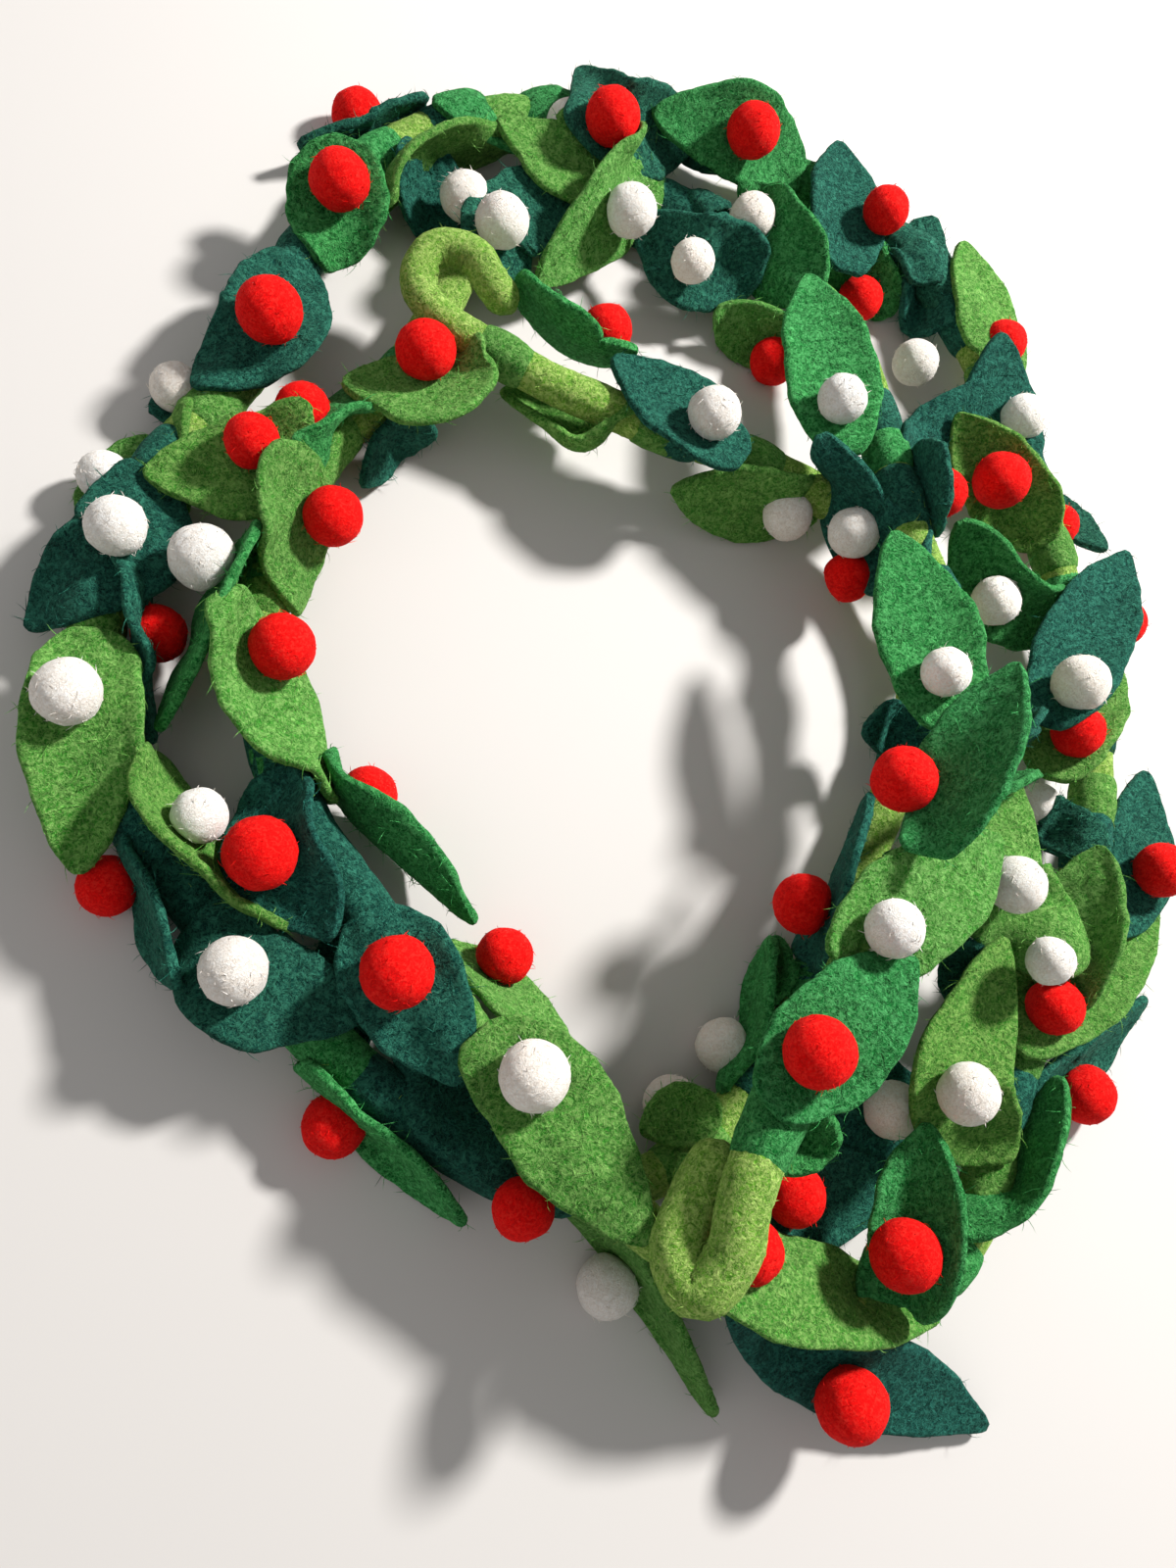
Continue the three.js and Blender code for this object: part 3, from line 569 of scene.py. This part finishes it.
# %% [markdown]
# ## The leaves
#
# A leaf is a pointed oval cut from a sheet of felt a little over 3 mm thick. It is sewn on by its narrow end,
# and then it bends over whatever it meets. Cloth simulation could drop the leaves on the rope, but then none
# would land where the photograph shows it. Here each leaf starts as a grid of points round a midrib that
# runs through three known places: the seam, the seat of its berry and its tip. The grid is cupped and leaned
# like the real one, and then pushed clear of the rope, the berries and the leaves above it, and the push is
# smoothed so that the felt bends instead of breaking.

# %% A leaf's measures
FELT = 3.2  # the thickness of the sheet
LEAF_WIDTH, BASE_WIDTH, TIP_WIDTH = 38.0, 11.0, 2.0
LEAF_BACK = 20.0  # how far a leaf runs back past its berry when it would be bent sharply under it
LEAF_NECK = 30.0  # a leaf with more than this between the rope and its berry is free to bend there
BERRY_SUNK = 2.0  # how far a berry's stitch pulls it into the felt
DRAPE = 1.6  # how far a leaf lies off the rope or the berry that it is laid over
LAYER = FELT + 0.4  # from the middle of one leaf's felt to the middle of the next one's
ALONG, ACROSS = 26, 10  # faces of the grid along the leaf and across it

# %% What a leaf is laid over
OWN_STRETCH = 0.5  # a leaf lies over the rope this many route points either way from its seam
NEARBY = 75  # how far from a leaf's seat the rope and the berries are looked at
FAR = 90  # two leaves whose middles are further apart than this don't meet
CLOSE = 10  # points of two leaves that are nearer than this may touch

ball_travel = np.arange(0, rope_line.length, 3.0)
rope_balls = rope_line.at_length(ball_travel)
rope_knots = np.interp(ball_travel, rope_line.travel, np.arange(len(rope_line.points)) / rope_line.fine)


def leaf_width(share):
    """How wide a leaf is at a share of its length."""
    swell = np.sin(math.pi * share**0.82).clip(0) ** 0.8
    ends = BASE_WIDTH + (TIP_WIDTH - BASE_WIDTH) * share
    return ends + (LEAF_WIDTH - ends) * swell


def turned(vector, axis, degrees):
    """The vector, turned round an axis."""
    return np.array(Matrix.Rotation(math.radians(degrees), 3, Vector(axis)) @ Vector(vector))


def leaf_line(leaf):
    """The midrib, the way the leaf faces, and the places of its seat and its berry."""
    tip, berry, heart = place(leaf["tip"]), place(leaf["berry"]), rope_line.at_knot(leaf["at"])
    away = unit((berry + tip) / 2 - heart)
    root = heart + away * (ROPE_RADIUS + FELT / 2 + DRAPE)
    if leaf.get("root"):
        root = place(leaf["root"])
    axis = unit(tip - root)
    face = turned(unit(np.array([0, 0, 1.0]) - axis * axis[2]), axis, leaf["lean"])
    inward = np.cross(face, axis)
    seat = berry - face * ((leaf["size"] + FELT) / 2 - BERRY_SUNK) + inward * leaf["aside"]
    onward = unit(tip - seat)
    neck = seat - root
    bent = unit(neck) @ onward < 0.5
    knots = [root] if leaf.get("root") else [heart + away * (ROPE_RADIUS - 0.5), root]
    if bent and np.linalg.norm(neck) < LEAF_NECK and not leaf.get("root"):
        knots = [seat - onward * LEAF_BACK]
    outer = (seat + tip) / 2 + face * leaf["bow"]
    return Line([*knots, seat, outer, tip]), face, seat, berry


# %% Lay a leaf over what is under it
def pushed(points, face, balls, reach, side):
    """How far each point has to move along the face, to that side, to clear all the balls."""
    push = np.zeros(len(points))
    for ball, wanted, way in zip(balls, reach, side):
        off = points + face * push[:, None] - ball
        near = (off**2).sum(1) < wanted**2
        if near.any():
            b = off[near] @ face * way
            push[near] += way * (np.sqrt(b * b + wanted**2 - (off[near] ** 2).sum(1)) - b)
    return push


def eased(push, rounds=10):
    """Smooths a push over the leaf's grid and never lets it get less than it has to be."""
    grid = push.reshape(ALONG + 1, ACROSS + 1)
    up, down = grid.clip(0, None), -grid.clip(None, 0)
    for need in (up, down):
        least = need.copy()
        for _ in range(rounds):
            wide = np.pad(need, 1, mode="edge")
            mean = (wide[:-2, 1:-1] + wide[2:, 1:-1] + wide[1:-1, :-2] + wide[1:-1, 2:]) / 4
            need[:] = np.maximum(least, mean)
    return (up - down).ravel()


def leaf_grid(leaf, settled):
    """The middle of the felt, as a grid of points, laid over the rope, the berries and higher leaves."""
    line, face, seat, own_berry = leaf_line(leaf)
    share = np.linspace(0, 1, ALONG + 1)
    centres, along = line.at_length(share * line.length), line.heading(share * line.length)
    width = leaf_width(share) * leaf.get("slim", 1.0)
    bend = math.radians(leaf["cup"]) / LEAF_WIDTH
    normal, rows = face.copy(), []
    edge = leaf["at"] * 3.7  # makes every leaf's cut edge and rim waver in their own way
    for i in range(ALONG + 1):
        normal = unit(normal - along[i] * (normal @ along[i]))
        across = np.cross(normal, along[i])
        y = np.linspace(-0.5, 0.5, ACROSS + 1) * width[i]
        y *= 1 + 0.035 * np.sin(share[i] * 15 + edge * np.sign(y)) + 0.02 * np.sin(share[i] * 37 + edge)
        lift = (1 - np.cos(y * bend)) / bend if bend else 0 * y
        reach = np.sin(y * bend) / bend if bend else y
        lift = lift + 1.3 * np.sin(share[i] * 7 + edge + np.sign(y)) * (2 * y / LEAF_WIDTH) ** 2
        rows.append(centres[i] + across * reach[:, None] + normal * lift[:, None])
    points = np.concatenate(rows)

    def side_of(ball, own=False):
        return 1 if own or (seat - ball) @ face > 0 else -1

    felt = FELT / 2 + DRAPE
    near = [k for k, ball in enumerate(rope_balls) if np.linalg.norm(ball - seat) < NEARBY]
    balls = [rope_balls[k] for k in near]
    reach = [ROPE_RADIUS + felt] * len(near)
    sides = [side_of(rope_balls[k], abs(rope_knots[k] - leaf["at"]) < OWN_STRETCH) for k in near]
    for other in leaves:
        centre = place(other["berry"])
        if other is leaf or other["colour"] == "none" or np.linalg.norm(centre - seat) > NEARBY:
            continue
        balls, reach = [*balls, centre], [*reach, other["size"] / 2 + felt]
        sides.append(side_of(centre))
    if leaf["colour"] != "none":
        balls, reach = [own_berry, *balls], [(leaf["size"] + FELT) / 2 - BERRY_SUNK, *reach]
        sides = [-1, *sides]
    points = points + face * eased(pushed(points, face, balls, reach, sides))[:, None]

    for other in settled:
        if np.linalg.norm(points.mean(0) - other.mean(0)) > FAR:
            continue
        gap = points[:, None] - other[None]
        apart = (gap**2).sum(2)
        if apart.min() > LAYER**2:
            continue
        close = apart < CLOSE**2
        which = 1 if (gap @ face)[close].mean() > 0 else -1
        tight = other[close.any(0)]
        need = [LAYER] * len(tight)
        points = points + face * eased(pushed(points, face, tight, need, [which] * len(tight)))[:, None]
    low = np.maximum(FELT / 2 + 0.2 - points[:, 2], 0)
    points[:, 2] += eased(low, 4)
    return points, line.length


# %% [markdown]
# The grid gets its thickness from a Solidify modifier, and one level of Subdivision Surface rounds the cut
# edge, which on felt is never sharp. Both are applied, and then every point moves a little along its normal,
# so that the skin has the dents and swellings of wool that was felted by hand.

# %% Thicken the grid and roughen the skin
dice_tint = random.Random(5)
GRID_FACES = []
for i in range(ALONG):
    for j in range(ACROSS):
        a = i * (ACROSS + 1) + j
        GRID_FACES.append((a, a + ACROSS + 1, a + ACROSS + 2, a + 1))


def apply_modifier(piece, kind, **settings):
    """Adds a modifier with these settings and applies it, as the button in the modifier's menu does."""
    bpy.ops.object.select_all(action="DESELECT")
    piece.select_set(True)
    bpy.context.view_layer.objects.active = piece
    modifier = piece.modifiers.new(kind, kind)
    for setting, value in settings.items():
        setattr(modifier, setting, value)
    bpy.ops.object.modifier_apply(modifier=modifier.name)


def normals_of(piece):
    """The piece's normals, one for each point."""
    flat = np.empty(len(piece.data.vertices) * 3)
    piece.data.vertices.foreach_get("normal", flat)
    return flat.reshape(-1, 3)


def own_tint(spread=0.07):
    """A slightly lighter or darker, warmer or cooler shade of the same dye."""
    value, warmth = dice_tint.gauss(1, spread), dice_tint.gauss(0, spread / 2)
    return (value + warmth, value, value - warmth)


def felt_leaf(name, leaf, points):
    """One leaf of felt from its grid of points."""
    piece = new_piece(name, points, GRID_FACES, leaf["green"])
    apply_modifier(piece, "SOLIDIFY", thickness=FELT * MM, offset=0)
    apply_modifier(piece, "SUBSURF", levels=1, render_levels=1)
    verts = verts_of(piece)
    seed = leaf["at"]
    push = 0.30 * rough(verts, 8, seed) + 0.22 * rough(verts, 2.8, seed + 3)
    verts = verts + normals_of(piece) * push[:, None]
    verts[:, 2] = np.maximum(verts[:, 2], 0.1)
    move_verts(piece, verts)
    piece.data.shade_smooth()
    tint = np.array(own_tint())
    set_tint(piece.data, tint)
    leaf["tint"] = tint
    return piece


height = {}
for leaf in leaves:
    height[leaf["body"]] = max(height.get(leaf["body"], 0), leaf["berry"][2])
order = sorted(leaves, key=lambda leaf: -height[leaf["body"]])
settled, leaf_pieces = [], []
count_of = {}
for leaf in order + between:
    if leaf["green"] == "none":
        continue
    points, length = leaf_grid(leaf, settled)
    settled.append(points)
    number = leaf["body"]
    count_of[number] = count_of.get(number, 0) + 1
    name = f"felt_leaf_{number:02d}" + "ab"[count_of[number] - 1]
    piece = felt_leaf(name, leaf, points)
    leaf_pieces.append((leaf, piece))
    if leaf in leaves:
        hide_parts(f"leaf_{number:02d}")
print(len(leaf_pieces), "leaves of", len(leaf_pieces[0][1].data.polygons), "faces each")

# %% [markdown]
# ## The wraps
#
# Where a leaf is sewn on, the rope is wrapped in felt of the leaf's green, so little of the rope's own green
# shows between the ends. Each wrap is a short sleeve that follows the rope and thins out at both its ends.

# %% Wrap the rope where the leaves are sewn on
WRAP_SIDES, WRAP_RINGS = 20, 13
WRAP_TUCK = 1.2  # how far a wrap's ends go into the rope
WRAP_RISE = 2.9  # how much further out its middle is than its ends
UNWRAPPED = 59  # this leaf is sewn on end A, where the rope is bare
# painted shade: the wraps of leaves 17, 19 and 52 are drawn long so that their dark felt covers rope lying in
# shade
LONG_WRAPS = {17: 36, 19: 30, 34: 28, 52: 20, 53: 26}  # half their length in millimetres, for these leaves

wrap_parts = {"light": [], "mid": [], "dark": []}
for leaf in leaves + between:
    if leaf["body"] == UNWRAPPED or leaf["green"] == "none":
        continue
    middle = float(np.interp(leaf["at"] * rope_line.fine, np.arange(len(rope_line.points)), rope_line.travel))
    half = leaf.get("wrap") or LONG_WRAPS.get(leaf["body"]) or dice.uniform(9, 15)
    travel = np.clip(middle + np.linspace(-half, half, WRAP_RINGS), 0, rope_line.length)
    centres = rope_line.at_length(travel)
    tangents = rope_line.heading(travel)
    side = carried_sides(tangents)
    upper = np.cross(tangents, side)
    turns = np.linspace(0, 2 * math.pi, WRAP_SIDES, endpoint=False)
    spoke = np.cos(turns)[None, :, None] * side[:, None] + np.sin(turns)[None, :, None] * upper[:, None]
    profile = np.sin(np.linspace(0, math.pi, WRAP_RINGS)) ** 0.35
    ring = ROPE_RADIUS * thickness_at(leaf["at"]) - WRAP_TUCK + WRAP_RISE * profile
    shell = centres[:, None] + spoke * ring[:, None, None]
    lump = rough(shell.reshape(-1, 3), 5, leaf["at"]).reshape(WRAP_RINGS, -1) * profile[:, None] * 0.45
    shell = shell + spoke * lump[..., None]
    shell[..., 2] = np.maximum(shell[..., 2], ON_FLOOR)
    wrap_parts[leaf["green"]].append((shell.reshape(-1, 3), np.array(own_tint())))

one_wrap = tube_faces(WRAP_RINGS, WRAP_SIDES)
for green, parts in wrap_parts.items():
    verts = np.concatenate([part[0] for part in parts])
    per = len(parts[0][0])
    faces = [tuple(corner + k * per for corner in face) for k in range(len(parts)) for face in one_wrap]
    tints = np.repeat([part[1] for part in parts], per, axis=0)
    new_piece(f"wraps_{green}", verts, faces, green, tints)
    print(len(parts), green, "wraps")

# %% [markdown]
# ## The berries
#
# A berry is a ball of wool rolled between the palms: nearly round, a touch flattened where the thread pulls
# it into its leaf, and never quite smooth. It starts as an icosphere, whose faces are all about the same
# size, so that the lumps come out even all over.

# %% Roll the berries
FLAT_FROM, FLAT_BY = 0.55, 0.35  # how many radii down a berry starts to flatten, and by what share

berry_pieces = []
count_of = {}
for leaf in leaves + between:
    if leaf["colour"] == "none":
        continue
    number = leaf["body"]
    count_of[number] = count_of.get(number, 0) + 1
    centre = place(leaf["berry"])
    face = leaf_line(leaf)[1]
    radius = leaf["size"] / 2
    bpy.ops.object.select_all(action="DESELECT")
    bpy.ops.mesh.primitive_ico_sphere_add(subdivisions=4, radius=radius * MM)
    piece = bpy.context.object
    piece.name = f"felt_berry_{number:02d}" + "ab"[count_of[number] - 1]
    piece.data.name = piece.name
    verts = verts_of(piece)
    dents = 0.35 * rough(verts, 9, leaf["at"]) + 0.14 * rough(verts, 2.5, leaf["at"] + 1)
    verts = verts + unit(verts) * dents[:, None]
    depth = -(verts @ face) / radius
    verts = verts + face * (np.clip(depth - FLAT_FROM, 0, 1) * radius * FLAT_BY)[:, None] + centre
    verts[:, 2] = np.maximum(verts[:, 2], 0.1)
    move_verts(piece, verts)
    piece.data.materials.clear()
    piece.data.materials.append(FELTS[leaf["colour"]])
    piece.data.shade_smooth()
    set_tint(piece.data, own_tint(0.03))
    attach(piece, "root")
    if leaf in leaves:
        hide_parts(f"leaf_{number:02d}")
    berry_pieces.append((leaf, piece))
print(len(berry_pieces), "berries of", len(berry_pieces[0][1].data.polygons), "faces each")

# %% [markdown]
# ## Stray fibres
#
# Felt is fuzzy: thousands of fine hairs stand off every surface and blur its outline. A hair system would do
# it in Blender, but it is lost when the model goes elsewhere, so the hairs are real. Each one is a very thin
# three-sided spike that bends over and ends in a point, and all the hairs of one finish are one piece.

# %% Grow fibres on a surface
FIBRE_GIRTHS = (0.13, 0.117, 0.0845)  # a hair's radius at each of its rings, before its pointed end
FIBRE_RINGS = len(FIBRE_GIRTHS)


def surface_spots(piece, count):
    """Random spots on a piece's surface, each with the surface's normal."""
    mesh = piece.data
    mesh.calc_loop_triangles()
    corners = np.empty(len(mesh.loop_triangles) * 3, int)
    mesh.loop_triangles.foreach_get("vertices", corners)
    triangles = verts_of(piece)[corners.reshape(-1, 3)]
    cross = np.cross(triangles[:, 1] - triangles[:, 0], triangles[:, 2] - triangles[:, 0])
    size = np.linalg.norm(cross, axis=1)
    chosen = dice.choice(len(triangles), count, p=size / size.sum())
    a, b = dice.random((2, count, 1))
    flip = (a + b) > 1
    a, b = np.where(flip, 1 - a, a), np.where(flip, 1 - b, b)
    t = triangles[chosen]
    return t[:, 0] + a * (t[:, 1] - t[:, 0]) + b * (t[:, 2] - t[:, 0]), unit(cross[chosen])


def fibres(spots, normals, longest):
    """The points of one bent hair at each spot: a few rings of three, and the end."""
    count = len(spots)
    lie = unit(np.cross(normals, dice.normal(size=(count, 3))))
    rise = dice.uniform(0.15, 1.1, (count, 1))
    start = unit(normals * rise + lie)
    curl = unit(dice.normal(size=(count, 3)))
    length = dice.uniform(0.35, 1, (count, 1)) * longest
    steps = np.linspace(0, 1, FIBRE_RINGS + 1)[None, :, None]
    droop = (curl - normals * 0.5)[:, None] * 0.5 * steps**2
    path = spots[:, None] + (start[:, None] * steps + droop) * length[:, None]
    side = unit(np.cross(start, curl))
    other = unit(np.cross(start, side))
    turns = np.array([0, 2, 4]) * math.pi / 3
    ring = np.cos(turns)[None, :, None] * side[:, None] + np.sin(turns)[None, :, None] * other[:, None]
    girth = np.array(FIBRE_GIRTHS)[None, :, None, None]
    rings = (path[:, :-1, None] + ring[:, None] * girth).reshape(count, -1, 3)
    return np.concatenate([rings, path[:, -1:]], 1).reshape(-1, 3)


HAIR_FACES = tube_faces(FIBRE_RINGS, 3)[:-1]
END = FIBRE_RINGS * 3
HAIR_FACES += [(END - 3 + s, END - 3 + (s + 1) % 3, END) for s in range(3)]


def grow(name, finish, groups):
    """One piece of fibres in one finish. groups are (piece, count, longest, tint)."""
    verts, tints = [], []
    for piece, count, longest, tint in groups:
        made = fibres(*surface_spots(piece, count), longest)
        verts.append(made)
        tints.append(np.repeat([np.asarray(tint)], len(made), axis=0))
    verts = np.concatenate(verts)
    verts[:, 2] = np.maximum(verts[:, 2], 0.05)
    per = END + 1
    hairs = len(verts) // per
    all_faces = [tuple(c + k * per for c in face) for k in range(hairs) for face in HAIR_FACES]
    piece = new_piece(name, verts, all_faces, finish, np.concatenate(tints), smooth=False)
    print(name, hairs, "fibres")


# %% The hairs of the leaves, the berries and the rope
LEAF_HAIRS, BERRY_HAIRS, ROPE_HAIRS = 200, 60, 1800  # how many on each piece
LEAF_LONGEST, BERRY_LONGEST, ROPE_LONGEST = 5.5, 2.6, 5.0
LEAF_PALE, BERRY_PALE, ROPE_PALE = 1.6, 1.1, 1.2  # how much paler a hair is than the felt it stands on

for green in ("light", "mid", "dark"):
    groups = [(piece, LEAF_HAIRS, LEAF_LONGEST, leaf["tint"] * LEAF_PALE)
              for leaf, piece in leaf_pieces if leaf["green"] == green]
    grow(f"fibres_{green}", green, groups)
for colour in ("red", "white"):
    groups = [(piece, BERRY_HAIRS, BERRY_LONGEST, [BERRY_PALE] * 3)
              for leaf, piece in berry_pieces if leaf["colour"] == colour]
    grow(f"fibres_{colour}", colour, groups)
grow("fibres_rope", "rope", [(rope, ROPE_HAIRS, ROPE_LONGEST, [ROPE_PALE] * 3)])

# %% [markdown]
# ## Floor and light
#
# The heap lies on a pale floor. One lamp from the upper right throws the long shadows: it is small, so they
# are clear, and wider than a point, so their edges are soft. A broad, weak one from the other side opens
# them, and a pale sky fills in the rest.

# %% Floor, lamps and sky
bpy.ops.object.select_all(action="DESELECT")
bpy.ops.mesh.primitive_plane_add(size=6, location=(0, 0, -0.0005))
floor = bpy.context.object
floor.name = "floor"
paint = bpy.data.materials.new("floor_paint")
paint.use_nodes = True
paint.node_tree.nodes["Principled BSDF"].inputs["Base Color"].default_value = (0.63, 0.595, 0.56, 1)
paint.node_tree.nodes["Principled BSDF"].inputs["Roughness"].default_value = 0.8
floor.data.materials.append(paint)


LAMPS_AIM = Vector((0, 0, 0.03))


def lamp(name, place_at, size, power):
    """A round area lamp of this width in metres and power in watts, aimed at the heap."""
    light = bpy.data.lights.new(name, "AREA")
    light.shape = "DISK"
    light.size = size
    light.energy = power
    made = bpy.data.objects.new(name, light)
    made.location = place_at
    made.rotation_euler = (LAMPS_AIM - Vector(place_at)).to_track_quat("-Z", "Y").to_euler()
    bpy.context.collection.objects.link(made)


lamp("main_lamp", (1.0, 0.72, 1.15), 0.22, 54)
lamp("fill_lamp", (-0.9, -0.6, 1.1), 1.2, 2.5)
world = bpy.data.worlds.new("sky")
world.use_nodes = True
world.node_tree.nodes["Background"].inputs["Color"].default_value = (0.95, 0.97, 1.0, 1)
world.node_tree.nodes["Background"].inputs["Strength"].default_value = 0.32
bpy.context.scene.world = world
bpy.context.scene.view_settings.view_transform = "Standard"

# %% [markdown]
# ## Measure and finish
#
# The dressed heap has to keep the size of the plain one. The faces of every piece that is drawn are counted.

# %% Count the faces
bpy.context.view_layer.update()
faces = sum(len(o.data.polygons) for o in bpy.data.objects if o.type == "MESH" and not o.hide_render)
